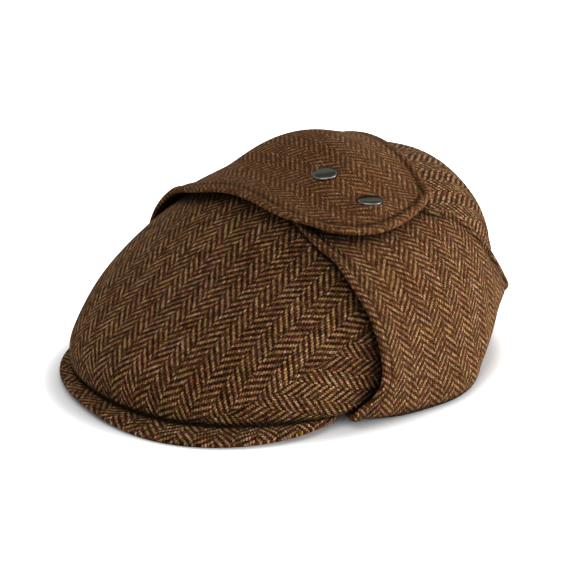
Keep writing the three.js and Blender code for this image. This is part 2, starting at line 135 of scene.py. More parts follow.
# Snap caps on the upper flap: rung of its strip, share from the front edge, and how far a cap is
# turned from the cloth's normal to upright
SNAPS = {"snap_inner": (2.568, 0.419, 0.6), "snap_outer": (3.279, 0.585, 0.9)}
SNAP_R, SNAP_STEPS = 6.8, 48
RIM_RUBBED = (0.9, 0.97)        # shares of a cap's radius between which its plating is rubbed bright
BED_FLAT, BED_FADE = 7.0, 15.0  # round a cap the cloth is drawn level, fading out between these

# The solids are centred on the origin: this carries the rings' y there
Y_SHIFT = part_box("crown_top")[0].y / MM - RINGS[0][2]


def clamp(x, low=0.0, high=1.0):
    return max(low, min(high, x))


def lerp(a, b, f):
    return a + (b - a) * f


def smooth(x, a, b):
    f = clamp((x - a) / (b - a))
    return f * f * (3 - 2 * f)


def bump(x, centre, width):
    return math.exp(-(((x - centre) / width) ** 2))


def crowd(f, pull=0.6):
    """Crowds evenly spaced shares towards both ends, so that edges get finer faces."""
    return f - pull * math.sin(2 * math.pi * f) / (2 * math.pi)


def spline(p0, p1, p2, p3, f):
    return 0.5 * (2 * p1 + (p2 - p0) * f + (2 * p0 - 5 * p1 + 4 * p2 - p3) * f * f
                  + (3 * p1 - p0 - 3 * p2 + p3) * f ** 3)


def rows_at(table, place):
    """A table's row at a fractional place, on a smooth curve through its rows."""
    last = len(table) - 1
    i = int(clamp(math.floor(place), 0, last - 1))
    before = table[i - 1] if i > 0 else [2 * a - b for a, b in zip(table[0], table[1])]
    after = table[i + 2] if i + 2 <= last else [2 * a - b for a, b in zip(table[last], table[last - 1])]
    f = place - i
    return [spline(*four, f) for four in zip(before, table[i], table[i + 1], after)]


def row_by_first(table, value):
    """A table's row at a value of its first column."""
    i = 0
    while i < len(table) - 2 and value > table[i + 1][0]:
        i += 1
    return rows_at(table, i + clamp((value - table[i][0]) / (table[i + 1][0] - table[i][0])))


def past_top():
    half, mid, front, back, z_side, z_front, z_back, swell = RINGS[-1]
    return (-half, mid, back, front, z_side, z_back, z_front, swell)


ALL_RINGS = RINGS + ((0.0, TOP_Y, TOP_Y, TOP_Y, TOP_Z, TOP_Z, TOP_Z, 0.0), past_top())


def sag(u, v):
    """Soft unevenness of the crown from wear, alike left and right, which everything on it shares."""
    fade = smooth(math.hypot(u, v), *SAG_FADES)
    return SAG * noise.noise(Vector((u * u, v, SAG_SLICE)) * SAG_WAVES) * fade


def crown(level, angle):
    """Point on the crown's outer face: level 0 at the rim, 1 at the top, angle 0 at +X."""
    row = rows_at(ALL_RINGS, min(clamp(level) * len(RINGS), len(RINGS)))
    half, mid, front, back, z_side, z_front, z_back, swell = row
    s, c = math.sin(angle), math.cos(angle)
    g = 1 + swell * 4 * s * s * c * c if s < 0 else 1
    y = mid + (mid - front) * s * g if s < 0 else mid + (back - mid) * s
    z = z_side + (z_back - z_front) / 2 * s + ((z_back + z_front) / 2 - z_side) * s * s
    return Vector((half * c * g, y + Y_SHIFT, z + sag((1 - level) * c, (1 - level) * s)))


def crown_normal(level, angle, h=1e-3):
    if level > TOP_FROM:
        across = crown(NEAR_TOP, 0) - crown(NEAR_TOP, math.pi)
        return across.cross(crown(NEAR_TOP, math.pi / 2) - crown(NEAR_TOP, -math.pi / 2)).normalized()
    up = crown(level + h, angle) - crown(max(level - h, 0), angle)
    around = crown(level, angle + h) - crown(level, angle - h)
    return around.cross(up).normalized()


def stack_dir(level, angle):
    """Way in which a flap is stacked on the crown: level at the rim, square to it higher up."""
    n = crown_normal(level, angle)
    flat = Vector((n.x, n.y, 0)).normalized()
    return flat.lerp(n, smooth(level, 0, STACK_TURNS)).normalized()


def seam_level(deg):
    return SEAM_LEVEL * math.sin(clamp((deg - SEAM_START) / SEAM_SWEEP) * math.pi / 2)


def side_deg(deg):
    """Degrees on the left side that mirror a place on the right."""
    return math.degrees(math.asin(math.sin(math.radians(deg))))


def tucked(level, angle):
    """Point on the crown's cloth: as crown, but with the lowest edge drawn in under a round."""
    inward = EDGE_TUCK * clamp(1 - level / EDGE_ROUND) ** 2
    n = crown_normal(level, angle)
    return crown(level, angle) - Vector((n.x, n.y, 0)).normalized() * inward


# Sheets: a shape function gives the outer point, the inner point and whether the edge there is sewn

def top_panel(across, along):
    deg = -90 + 360 * across
    level = lerp(seam_level(side_deg(deg)), 1, along ** TOP_CROWDS)
    angle = math.radians(deg)
    outer = tucked(level, angle)
    return outer, outer - SHELL_T * crown_normal(level, angle), side_deg(deg) > SEAM_START


def side_panel(across, along):
    tip = SEAM_START + SEAM_SWEEP * 2 / math.pi * math.asin(SEAM_TIP / SEAM_LEVEL)
    deg = lerp(tip, 90 - math.degrees(BACK_SPLIT / RINGS[0][0]), crowd(across, 0.5))
    level = (seam_level(deg) - SEAM_GAP / LEVEL_RUN) * crowd(along)
    angle = math.radians(deg)
    outer = tucked(level, angle)
    return outer, outer - SHELL_T * crown_normal(level, angle), along > 0.5 or across > 0.5


def stand_off(level, deg, share, over):
    """How far a flap stands off the crown; share is the height between rim and rear edge."""
    u = (1 - level) * math.cos(math.radians(deg))
    v = (1 - level) * math.sin(math.radians(deg))
    d = LIE_GAP + BULGE_OUT * bump(deg, BULGE_DEG, BULGE_WIDTH) * (1 - smooth(level, *BULGE_FADES))
    flare = FLARE_OUT * bump(deg, FLARE_DEG, FLARE_WIDTH)
    flare += FLARE_REST * smooth(deg, FLARE_DEG, FLARE_REST_TO)
    d += flare * share ** 2 * smooth(deg, *FLARE_STARTS)
    if over:
        outside = math.hypot(max(TONGUE_U + u, 0), v - TONGUE_V) - TONGUE_R
        d += (FLAP_T + LIE_GAP) * (1 - smooth(outside, RAMP_TO, RAMP_FROM))
    return d


# A flap's rolled edge starts inside the solid's, by shares of its strip and of a rung
HEM_IN, TIP_IN = 0.011, 0.06
# Columns and rows of a flap's grid: rows inside the rim, round the fold, up the side, over the top
STRIP_COLS, REAR_COLS = 26, 30
RAISE_ROWS, FOLD_ROWS, LOW_ROWS, STRIP_ROWS = 2, 14, 26, 36
FLAP_COLS = STRIP_COLS + REAR_COLS
BAND_TOP = FOLD_ROWS + LOW_ROWS
FLAP_ROWS = BAND_TOP + STRIP_ROWS


def flap_fold(base_deg, row, over):
    """Outer and inner point on the fold, from the inside under the rim to the outside."""
    angle = math.radians(base_deg)
    rim, out = crown(0, angle), stack_dir(0, angle)
    off = stand_off(0, base_deg, 0, over)
    lift = FOLD_LIFT * (1 - smooth(base_deg, FOLD_LIFT_FROM, FOLD_LIFT_TO))
    turn = math.pi * (1 - clamp((row - RAISE_ROWS) / (FOLD_ROWS - RAISE_ROWS)))
    raised = FOLD_UP * clamp(1 - row / RAISE_ROWS)
    points = []
    for thick in (FLAP_T, 0):
        floor = lift + FLAP_T - thick
        reach = SHELL_T / 2 + thick + (off if math.cos(turn) > 0 else LIE_GAP + EDGE_TUCK)
        drop = (rim.z - floor + (FOLD_PRESS if thick else 0)) * math.sin(turn)
        p = rim + out * (reach * math.cos(turn) - SHELL_T / 2)
        p.z = max(rim.z - drop, floor) + raised
        points.append(p)
    return points


def edge_lift(level, across, end, over):
    """How far a flap's edge lifts: across is 0 at its front edge, end is 1 at the upper flap's tip."""
    free = max(1 - smooth(across, 0, LIFT_WIDTH), end)
    share = 1 - smooth(level, *LOWER_LIES)
    if over:
        share = lerp(UPPER_LOW, 1, smooth(level, *UPPER_RISES))
    return EDGE_LIFT * free * smooth(level, LIFT_FROM, LIFT_FULL) * share


def flap_stack(level, deg, share, over, lift=0.0):
    angle = math.radians(deg)
    way, base = stack_dir(level, angle), crown(level, angle)
    d = stand_off(level, deg, share, over) + lift
    return [base + way * (d + FLAP_T), base + way * d]


def strip_point(at, across, over):
    """Outer and inner point on the strip over the top: at counts rungs, across is 0 at the front."""
    strip = TAB if over else TONGUE
    rungs = len(strip) - 1
    fu, fv, ru, rv, bow = rows_at(strip, at)
    u = lerp(fu, ru, across) + bow * 4 * across * (1 - across)
    v = lerp(fv, rv, across)
    level = 1 - math.hypot(u, v)
    end = smooth(at, rungs - TIP_LIFTS, rungs) if over else 0
    lift = edge_lift(level, across, end, over)
    return flap_stack(level, math.degrees(math.atan2(v, u)), 0, over, lift)


def snap_place(at, across, level, h=0.02):
    """A cap's seat on the upper flap's outer face, not yet mirrored, and its axis."""
    along = strip_point(at + h, across, True)[0] - strip_point(at - h, across, True)[0]
    aside = strip_point(at, across + h, True)[0] - strip_point(at, across - h, True)[0]
    way = along.cross(aside).normalized()
    way = way if way.z > 0 else -way
    return strip_point(at, across, True)[0], way.lerp(Vector((0, 0, 1)), level).normalized()


SNAP_PLACES = {node: snap_place(*place) for node, place in SNAPS.items()}


def bedded(outer, inner):
    """Draws the upper flap level under its caps: low cloth is lifted, high cloth is pressed thinner."""
    for seat, way in SNAP_PLACES.values():
        step = outer - seat
        move = way * -step.dot(way) * (1 - smooth(step.length, BED_FLAT, BED_FADE))
        outer = outer + move
        inner = inner + move if move.z > 0 else inner
    return [outer, inner]


def ear_flap(col, row, over):
    """Outer and inner point of the left-hand flap at a grid corner."""
    rear = col > STRIP_COLS
    across = lerp(HEM_IN, 1 - HEM_IN, crowd(clamp(col / STRIP_COLS)))
    place = crowd(clamp((col - STRIP_COLS) / REAR_COLS)) * (len(FLAP_REAR) - 1)
    back = 90 - math.degrees(BACK_SPLIT / RINGS[0][0])
    rear_base, rear_deg, rear_level = rows_at(FLAP_REAR, place)
    base = min(rear_base, back) if rear else lerp(FLAP_FRONT[0][1], FLAP_REAR[0][0], across)
    if row < FOLD_ROWS:
        return flap_fold(base, row, over)
    if row <= BAND_TOP:
        share = crowd((row - FOLD_ROWS) / LOW_ROWS, 0.4)
        level = rear_level * share
        if rear:
            return flap_stack(level, min(lerp(base, rear_deg, share), back), share, over)
        front_deg = row_by_first(FLAP_FRONT, level)[1]
        middle_deg = lerp(FLAP_REAR[0][0], FLAP_REAR[0][1], share)
        lift = edge_lift(level, across, 0, over)
        return flap_stack(level, lerp(front_deg, middle_deg, across), 0, over, lift)
    at = crowd((row - BAND_TOP) / STRIP_ROWS, 0.5) * (len(TAB) - 1 - TIP_IN)
    points = strip_point(at, across, over)
    return bedded(*points) if over else points


def peak_section(share):
    """Distances beyond the crown's edge, and the upper and lower heights there, at one place."""
    deg = lerp(PEAK_ENDS[0], PEAK_ENDS[1], share)
    arch = math.sin(share * math.pi)
    angle = math.radians(deg)
    rim, out = crown(0, angle), stack_dir(0, angle)
    over = PEAK_OVER + PEAK_SKEW * math.cos(angle) * arch ** SKEW_POWER
    over -= PEAK_TAPER * (1 - arch) ** TAPER_POWER
    lift = PEAK_RISE * (1 - arch) ** RISE_POWER + PEAK_NOSE * smooth(-deg, NOSE_FROM, NOSE_TO)
    depth = PEAK_END_DEPTH + (PEAK_DEPTH - PEAK_END_DEPTH) * arch ** DEPTH_POWER
    under = rim.z - PEAK_UNDER

    def inwards(part):
        return lerp(over - PEAK_FLAT, -depth, part)

    section = (
        (over, min(PEAK_EDGE + lift, under), lift),
        (over - PEAK_FLAT, min(PEAK_EDGE + PEAK_EDGE_RISE + lift, under), lift),
        (inwards(0.18), under - PEAK_DIP, under - PEAK_T),
        (inwards(0.4), under, under - PEAK_T),
        (inwards(0.7), under, under - PEAK_T),
        (inwards(1), under, under - PEAK_T),
    )
    return rim, out, section


def peak(across, along):
    rim, out, section = peak_section(across)
    a, top, bottom = rows_at(section, along ** PEAK_CROWDS * (len(section) - 1))
    p = rim + out * a
    return Vector((p.x, p.y, top)), Vector((p.x, p.y, max(bottom, 0))), False


# Turning sheets into closed cloth

WELD = 0.01 * MM        # corners closer than this are one
GROOVE_IN, GROOVE_WIDTH = 3.8, 1.2      # from the start of an edge's roll to the groove inside it
# Where a turned edge swells and how wide, how far in its painted sheen reaches, and how wide a sewn edge
# dips
SWELL_IN, SWELL_WIDTH, EDGE_SHEEN_WIDTH, DIP_WIDTH = 0.8, 2.0, 2.2, 1.5
TURNED, SEWN = 0.0, 1.0                 # kinds of edge
ROLL_STEPS = 6
ROLL_CLOTH = 0.75       # cloth used up by a roll, as a share of the thickness
SEWN_HEM = 0.15         # how far a sewn edge rounds out


def new_object(name, bm):
    mesh = bpy.data.meshes.new(name)
    bm.to_mesh(mesh)
    bm.free()
    piece = bpy.data.objects.new(name, mesh)
    bpy.context.scene.collection.objects.link(piece)
    return piece


def open_sheet(name, cols, rows, shape, mirrored=False, missing=None):
    """Open sheet from a grid: shape puts its corners on the outer face, depth leads to the inner."""
    bm = bmesh.new()
    depth = bm.verts.layers.float_vector.new("depth")
    sewn = bm.verts.layers.float.new("sewn")
    bmesh.ops.create_grid(bm, x_segments=cols, y_segments=rows, size=0.5)
    if missing:
        middles = {f: f.calc_center_median() for f in bm.faces}
        cut = [f for f, m in middles.items() if missing((m.x + 0.5) * cols, (m.y + 0.5) * rows)]
        bmesh.ops.delete(bm, geom=cut, context="FACES")
    for v in bm.verts:
        outer, inner, is_sewn = shape(v.co.x + 0.5, v.co.y + 0.5)
        if mirrored:
            outer.x, inner.x = -outer.x, -inner.x
        v.co = outer * MM
        v[depth] = (inner - outer) * MM
        v[sewn] = SEWN if is_sewn else TURNED
    bmesh.ops.remove_doubles(bm, verts=bm.verts, dist=WELD)
    bmesh.ops.recalc_face_normals(bm, faces=bm.faces)
    inward = sum(1 for f in bm.faces if f.normal.dot(f.verts[0][depth]) > 0)
    if inward > len(bm.faces) / 2:
        bmesh.ops.reverse_faces(bm, faces=bm.faces)
    return new_object(name, bm)


def flat_area(corners):
    return 0.5 * abs(sum(a.x * b.y - b.x * a.y for a, b in zip(corners, corners[1:] + corners[:1])))


def lay_flat(piece, tail, tip, turn=0.0, ease=1.0):
    """Gives an open sheet its cloth map: the cut in metres times ease, the warp from tail to tip."""
    mesh = piece.data
    mesh.uv_layers.new(name=CLOTH_MAP)
    bpy.context.view_layer.objects.active = piece
    piece.select_set(True)
    bpy.ops.object.mode_set(mode="EDIT")
    bpy.ops.mesh.select_all(action="SELECT")
    bpy.ops.uv.unwrap(method="MINIMUM_STRETCH", iterations=12, margin=0.0)
    bpy.ops.object.mode_set(mode="OBJECT")
    piece.select_set(False)
    layer = mesh.uv_layers[CLOTH_MAP].data
    flat = {loop.vertex_index: layer[loop.index].uv.copy() for loop in mesh.loops}
    area = sum(flat_area([flat[i] for i in f.vertices]) for f in mesh.polygons)
    scale = math.sqrt(sum(f.area for f in mesh.polygons) / area)

    def nearest(point):
        return min(flat, key=lambda i: (mesh.vertices[i].co - point * MM).length_squared)

    start, end = flat[nearest(tail)], flat[nearest(tip)]
    way = end - start
    turned = Matrix.Rotation(math.pi / 2 - math.atan2(way.y, way.x) + math.radians(turn), 2)
    for loop in mesh.loops:
        layer[loop.index].uv = turned @ (flat[loop.vertex_index] - start) * scale * ease


def close_cloth(piece, hem, swell=0.0, groove=0.0, dip=0.5):
    """Closes an open sheet: turned edges swell, have a groove and roll round, sewn ones end bluntly."""
    bm = bmesh.new()
    bm.from_mesh(piece.data)
    uv = bm.loops.layers.uv[CLOTH_MAP]
    # Masks for the painted sheen along turned edges and for the grooves inside them
    for name in ("edge_sheen", "groove"):
        bm.verts.layers.float.new(name)
    cloth = bm.verts.layers.float_vector.new("flat")
    depth = bm.verts.layers.float_vector["depth"]
    sewn = bm.verts.layers.float["sewn"]
    for v in bm.verts:
        v[cloth] = v.link_loops[0][uv].uv.to_3d()
    edges = [e for e in bm.edges if e.is_boundary]
    rim = {v for e in edges for v in e.verts}
    outward, away = edge_ways(rim, edges, depth, cloth)
    shape_edges(bm, rim, depth, sewn, cloth, swell, groove, dip)
    inside = bmesh.ops.duplicate(bm, geom=bm.verts[:] + bm.edges[:] + bm.faces[:])
    twin = inside["vert_map"]
    for v in [g for g in inside["geom"] if isinstance(g, bmesh.types.BMVert)]:
        v.co = v.co + v[depth]
    back = [g for g in inside["geom"] if isinstance(g, bmesh.types.BMFace)]
    bmesh.ops.reverse_faces(bm, faces=back)
    roll_edges(bm, rim, edges, twin, hem, outward, away, depth, sewn, cloth)
    for f in bm.faces:
        f.smooth = True
        for loop in f.loops:
            loop[uv].uv = loop.vert[cloth].xy
    bmesh.ops.recalc_face_normals(bm, faces=bm.faces)
    bm.to_mesh(piece.data)
    bm.free()


def edge_ways(rim, edges, depth, cloth):
    """Ways out of the cloth at its edge corners, in space and on the flat cut."""
    outward = {v: Vector() for v in rim}
    away = {v: Vector() for v in rim}
    for e in edges:
        loop = e.link_loops[0]
        a, b = loop.vert, loop.link_loop_next.vert
        along = (b.co - a.co).normalized()
        along_flat = (b[cloth] - a[cloth]).normalized()
        for v in (a, b):
            outward[v] += along.cross(-v[depth]).normalized()
            away[v] += Vector((along_flat.y, -along_flat.x, 0))
    return [{v: w.normalized() for v, w in ways.items()} for ways in (outward, away)]


def shape_edges(bm, rim, depth, sewn, cloth, swell, groove, dip):
    """Thickens the cloth along turned edges and draws it in along sewn ones."""
    trees = {}
    for kind in (TURNED, SEWN):
        corners = [v for v in rim if v[sewn] == kind]
        trees[kind] = KDTree(len(corners))
        for i, v in enumerate(corners):
            trees[kind].insert(v[cloth], i)
        trees[kind].balance()
    edge_sheen_mask, groove_mask = (bm.verts.layers.float[name] for name in ("edge_sheen", "groove"))
    for v in bm.verts:
        near = {kind: tree.find(v[cloth])[2] for kind, tree in trees.items()}
        lift = 0.0
        if near[TURNED] is not None:
            inside = near[TURNED] / MM
            # Painted sheen: this mask lightens the colour along turned edges
            v[edge_sheen_mask] = bump(inside, 0.0, EDGE_SHEEN_WIDTH) if swell else 0.0
            v[groove_mask] = bump(inside, GROOVE_IN, GROOVE_WIDTH) if groove else 0.0
            lift += swell * bump(inside, SWELL_IN, SWELL_WIDTH) - groove * v[groove_mask]
        if near[SEWN] is not None:
            lift -= dip * bump(near[SEWN] / MM, 0, DIP_WIDTH)
        step = -v[depth].normalized() * lift * MM
        v.co += step
        v[depth] = v[depth] - step


def roll_edges(bm, rim, edges, twin, hem, outward, away, depth, sewn, cloth):
    """Rolls the outer face's edge round to the inner face in short steps."""
    base = {v: (v.co.copy(), v[depth].copy(), v[cloth].copy(), v[sewn]) for v in rim}
    at = {v: v for v in rim}
    for step in range(1, ROLL_STEPS + 1):
        made = bmesh.ops.extrude_edge_only(bm, edges=edges)["geom"]
        fresh = {g for g in made if isinstance(g, bmesh.types.BMVert)}
        older = {v: k for k, v in at.items()}
        at = {}
        for v in fresh:
            old = next(e.other_vert(v) for e in v.link_edges if e.other_vert(v) in older)
            at[older[old]] = v
        turn = math.pi * step / ROLL_STEPS
        for root, v in at.items():
            top, down, flat, is_sewn = base[root]
            out = (SEWN_HEM if is_sewn else hem) * MM * math.sin(turn)
            v.co = top + down * (1 - math.cos(turn)) / 2 + outward[root] * out
            v[cloth] = flat + away[root] * down.length * ROLL_CLOTH * math.sin(turn)
        made_edges = [g for g in made if isinstance(g, bmesh.types.BMEdge)]
        edges = [e for e in made_edges if all(v in fresh for v in e.verts)]
    bmesh.ops.weld_verts(bm, targetmap={v: twin[root] for root, v in at.items()})


def finish_piece(piece, node, material):
    soft = piece.modifiers.new("soft", "SUBSURF")
    soft.levels = soft.render_levels = 1
    piece.data.materials.append(material)
    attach(piece, "root")
    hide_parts(node)


def finish_cloth(piece, node, material):
    finish_piece(piece, node, material)


# Shader nodes

class Board:
    """Lays shader nodes into one tree and links them as they are worked out."""

    def __init__(self, tree):
        self.tree = tree

    def feed(self, socket, value):
        if isinstance(value, bpy.types.NodeSocket):
            self.tree.links.new(value, socket)
        else:
            socket.default_value = value

    def node(self, kind, inputs=None, **settings):
        made = self.tree.nodes.new("ShaderNode" + kind)
        for key, value in settings.items():
            setattr(made, key, value)
        for key, value in (inputs or {}).items():
            self.feed(made.inputs[key], value)
        return made

    def math(self, operation, *values):
        made = self.tree.nodes.new("ShaderNodeMath")
        made.operation = operation
        for socket, value in zip(made.inputs, values):
            self.feed(socket, value)
        return made.outputs[0]

    def shaken(self, place, scale, reach):
        """A place moved about by noise, up to half of reach each way."""
        wander = self.node("TexNoise", {"Vector": place, "Scale": scale, "Detail": 2.0})
        halves = {0: wander.outputs["Color"], 1: (0.5, 0.5, 0.5)}
        shift = self.node("VectorMath", halves, operation="SUBTRACT")
        drift = self.node("VectorMath", {0: shift.outputs[0], "Scale": reach}, operation="SCALE")
        return self.node("VectorMath", {0: place, 1: drift.outputs[0]}, operation="ADD").outputs[0]

    def mean(self, one, other, share):
        """Weighted mean of two values."""
        return self.math("ADD", self.math("MULTIPLY", one, share), self.math("MULTIPLY", other, 1 - share))

    def noise(self, place, scale, detail):
        return self.node("TexNoise", {"Vector": place, "Scale": scale, "Detail": detail}).outputs[0]

    def grey(self, value):
        return self.node("CombineColor", {i: value for i in range(3)}).outputs[0]

    def ramp(self, value, stops):
        """Colour at a value between 0 and 1, from stops of place and colour."""
        made = self.node("ValToRGB", {0: value})
        elements = made.color_ramp.elements
        while len(elements) < len(stops):
            elements.new(0.5)
        for element, (place, colour) in zip(elements, stops):
            element.position = place
            element.color = (*colour, 1)
        return made.outputs[0]

    def mix(self, share, a, b, blend="MIX"):
        made = self.tree.nodes.new("ShaderNodeMix")
        made.data_type = "RGBA"
        made.blend_type = blend
        for socket, value in zip((made.inputs[0], made.inputs[6], made.inputs[7]), (share, a, b)):
            self.feed(socket, value)
        return made.outputs[2]


def new_group(name, inputs, outputs):
    """Empty shader group with named sockets: inputs and outputs map a name to a socket type."""
    tree = bpy.data.node_groups.new(name, "ShaderNodeTree")
    for key, kind in inputs.items():
        tree.interface.new_socket(name=key, in_out="INPUT", socket_type="NodeSocket" + kind)
    for key, kind in outputs.items():
        tree.interface.new_socket(name=key, in_out="OUTPUT", socket_type="NodeSocket" + kind)
    return tree, Board(tree), tree.nodes.new("NodeGroupInput"), tree.nodes.new("NodeGroupOutput")


YARN_PITCH = 1.09 * MM      # from one yarn to the next
ENDS = 8                    # warp yarns in one column of the herringbone
REPEAT = 4.0                # yarns in one repeat of the twill, two over and two under
YARN_DRIFTS = ((90.0, 1.2 * MM), (1300.0, 0.7 * MM))    # noise scale and reach of the yarns' wandering
ROUND_FALL, DIVE_FALL, HEIGHT_POWER = 0.6, 0.75, 0.7    # how a yarn falls off across and along a float
NAP_HIDES = 0.44            # share of the weave that full nap hides

# Heathered wools, from one end of their mixture to the other
WARP_WOOL = (
    (0.15, (0.170, 0.062, 0.022)), (0.36, (0.208, 0.104, 0.060)), (0.48, (0.222, 0.124, 0.066)),
    (0.56, (0.194, 0.122, 0.040)), (0.70, (0.200, 0.124, 0.038)), (0.88, (0.280, 0.172, 0.105)),
)
WEFT_WOOL = (
    (0.20, (0.020, 0.007, 0.0022)), (0.44, (0.042, 0.012, 0.003)), (0.60, (0.046, 0.012, 0.008)),
    (0.80, (0.070, 0.019, 0.005)),
)
NAP_WOOL = ((0.2, (0.030, 0.008, 0.002)), (0.5, (0.104, 0.036, 0.012)), (0.8, (0.200, 0.098, 0.041)))
SPECK_WOOL = (0.30, 0.19, 0.11, 1)
SPECK_FROM, SPECK_SHARE = 0.965, 0.6
COLUMN_STEP = 17.0          # keeps the lines of different columns apart when they draw their colours
LINE_SHARE, YARN_SHARE = 0.3, 0.45      # of a line against its floats, and of both against patches

# Noise scales: patches of wool, tufts of felt, mottling of the yarn and its single fibres
PATCH_SCALE, FELT_SCALE, MOTTLE_SCALE, FIBRE_SCALE = 100.0, 1000.0, 1600.0, 2600.0

# Gain and offset of what blends and shades the wools, and the least shades
BLEND, FELT, SPREAD = (1.8, -0.4), (2.2, -0.6), (1.2, 0.4)
# On the next line, the third pair paints highlight on the floats' crowns and shade in the hollows between
# them
GRAIN, DAPPLE, FLOAT_SHADING = (3.0, -0.5), (5.0, -1.5), (1.05, 0.17)
GRAIN_LEAST, DAPPLE_LEAST = 0.1, 0.12
# Painted sheen along turned edges and painted shade in the grooves inside them
EDGE_SHEEN_GAIN, GROOVE_SHADE = (0.06, 1.0), (-0.75, 1.0)


def herringbone_group():
    """Two-up two-down twill that turns back every eight yarns, in heathered wool."""
    inputs = {"Cloth": "Vector", "Nap": "Float", "Edge_sheen": "Float", "Groove": "Float"}
    tree, b, start, end = new_group("herringbone", inputs, {"Color": "Color", "Height": "Float"})
    cloth = start.outputs["Cloth"]
    bent = cloth
    for scale, reach in YARN_DRIFTS:
        bent = b.shaken(bent, scale, reach)
    xy = b.node("SeparateXYZ", {0: bent})
    across, along = (b.math("DIVIDE", xy.outputs[i], YARN_PITCH) for i in (0, 1))
    end_no, pick_no = b.math("FLOOR", across), b.math("FLOOR", along)
    in_end, in_pick = b.math("FRACT", across), b.math("FRACT", along)
    column = b.math("FLOOR", b.math("DIVIDE", end_no, float(ENDS)))
    odd = b.math("FLOORED_MODULO", column, 2.0)
    side = b.math("MULTIPLY_ADD", odd, -2.0, 1.0)
    climb = b.math("ADD", b.math("MULTIPLY_ADD", side, end_no, pick_no), odd)
    step = b.math("FLOORED_MODULO", climb, REPEAT)
    warp_up = b.math("LESS_THAN", step, 1.5)
    # Shares along each float and across each yarn
    warp_along = b.math("MULTIPLY", b.math("ADD", step, in_pick), 0.5)
    back = b.math("MULTIPLY_ADD", side, b.math("SUBTRACT", step, 2.0), odd)
    weft_along = b.math("MULTIPLY", b.math("ADD", back, in_end), 0.5)

    def fall(share):
        """Square of the distance from a yarn's or float's middle, 1 at its edge."""
        x = b.math("MULTIPLY_ADD", share, 2.0, -1.0)
        return b.math("MULTIPLY", x, x)

    def choose(warp, weft):
        return b.math("MULTIPLY_ADD", b.math("SUBTRACT", warp, weft), warp_up, weft)

    round_off = choose(fall(in_end), fall(in_pick))
    dive = choose(fall(warp_along), fall(weft_along))
    low = b.math("ADD", b.math("MULTIPLY", round_off, ROUND_FALL), b.math("MULTIPLY", dive, DIVE_FALL))
    height = b.math("POWER", b.math("MAXIMUM", b.math("SUBTRACT", 1.0, low), 0.0), HEIGHT_POWER)
    nap = b.math("MULTIPLY", start.outputs["Nap"], NAP_HIDES)
    b.feed(end.inputs["Height"], b.math("MULTIPLY", height, b.math("SUBTRACT", 1.0, nap)))
    # Wool colours by line, by float and in patches
    line = b.math("FLOOR", b.math("DIVIDE", climb, REPEAT))
    line_id = b.math("MULTIPLY_ADD", column, COLUMN_STEP, line)
    by_line = b.node("TexWhiteNoise", {"W": line_id}, noise_dimensions="1D")
    float_id = b.node("CombineXYZ", {0: choose(end_no, pick_no), 1: line, 2: warp_up})
    by_float = b.node("TexWhiteNoise", {"Vector": float_id.outputs[0]}, noise_dimensions="3D")
    draws = b.node("SeparateColor", {0: by_float.outputs["Color"]}).outputs
    by_yarn = b.mean(by_line.outputs["Value"], draws[0], LINE_SHARE)
    mixed = b.mean(by_yarn, b.noise(cloth, PATCH_SCALE, 3.0), YARN_SHARE)
    blend = b.math("MULTIPLY_ADD", mixed, *BLEND)
    yarn = b.mix(warp_up, b.ramp(blend, WEFT_WOOL), b.ramp(blend, WARP_WOOL))
    speck = b.math("MULTIPLY", b.math("GREATER_THAN", draws[2], SPECK_FROM), warp_up)
    yarn = b.mix(b.math("MULTIPLY", speck, SPECK_SHARE), yarn, SPECK_WOOL)
    # Shades of single floats and of their fibres, with painted highlight on the floats' crowns and painted
    # shade in the hollows between them
    spread = b.math("MULTIPLY_ADD", draws[1], *SPREAD)
    fibres, mottle = b.noise(cloth, FIBRE_SCALE, 2.0), b.noise(cloth, MOTTLE_SCALE, 1.0)
    grain = b.math("MAXIMUM", b.math("MULTIPLY_ADD", fibres, *GRAIN), GRAIN_LEAST)
    dapple = b.math("MAXIMUM", b.math("MULTIPLY_ADD", mottle, *DAPPLE), DAPPLE_LEAST)
    float_shading = b.math("MULTIPLY_ADD", height, *FLOAT_SHADING)
    shade = b.math("MULTIPLY", b.math("MULTIPLY", spread, b.math("MULTIPLY", grain, dapple)), float_shading)
    woven = b.mix(1.0, yarn, b.grey(shade), "MULTIPLY")
    # Felted nap over the weave, painted sheen along the edges and painted shade in the grooves inside them
    felt = b.math("MULTIPLY_ADD", b.noise(cloth, FELT_SCALE, 2.0), *FELT)
    napped = b.mix(nap, woven, b.ramp(felt, NAP_WOOL))
    painted_edge_sheen = b.math("MULTIPLY_ADD", start.outputs["Edge_sheen"], *EDGE_SHEEN_GAIN)
    sheen_and_groove_shade = b.math("MULTIPLY", painted_edge_sheen, b.math("MULTIPLY_ADD", start.outputs["Groove"], *GROOVE_SHADE))
    b.feed(end.inputs["Color"], b.mix(1.0, napped, b.grey(sheen_and_groove_shade), "MULTIPLY"))
    return tree


def new_material(name):
    material = bpy.data.materials.new(name)
    material.use_nodes = True
    board = Board(material.node_tree)
    return material, board, material.node_tree.nodes["Principled BSDF"]


RELIEF, RELIEF_DEPTH = 0.9, 0.35 * MM
SHADE_REACH, PEAK_SHADE_REACH = 9, 3    # millimetres within which other cloth paints shade into a gap
SHADE_OPEN = (0.42, 0.72)             # shares of open air between which the painted shade in a gap turns from dark to light
SHADE_LEAST = 0.12


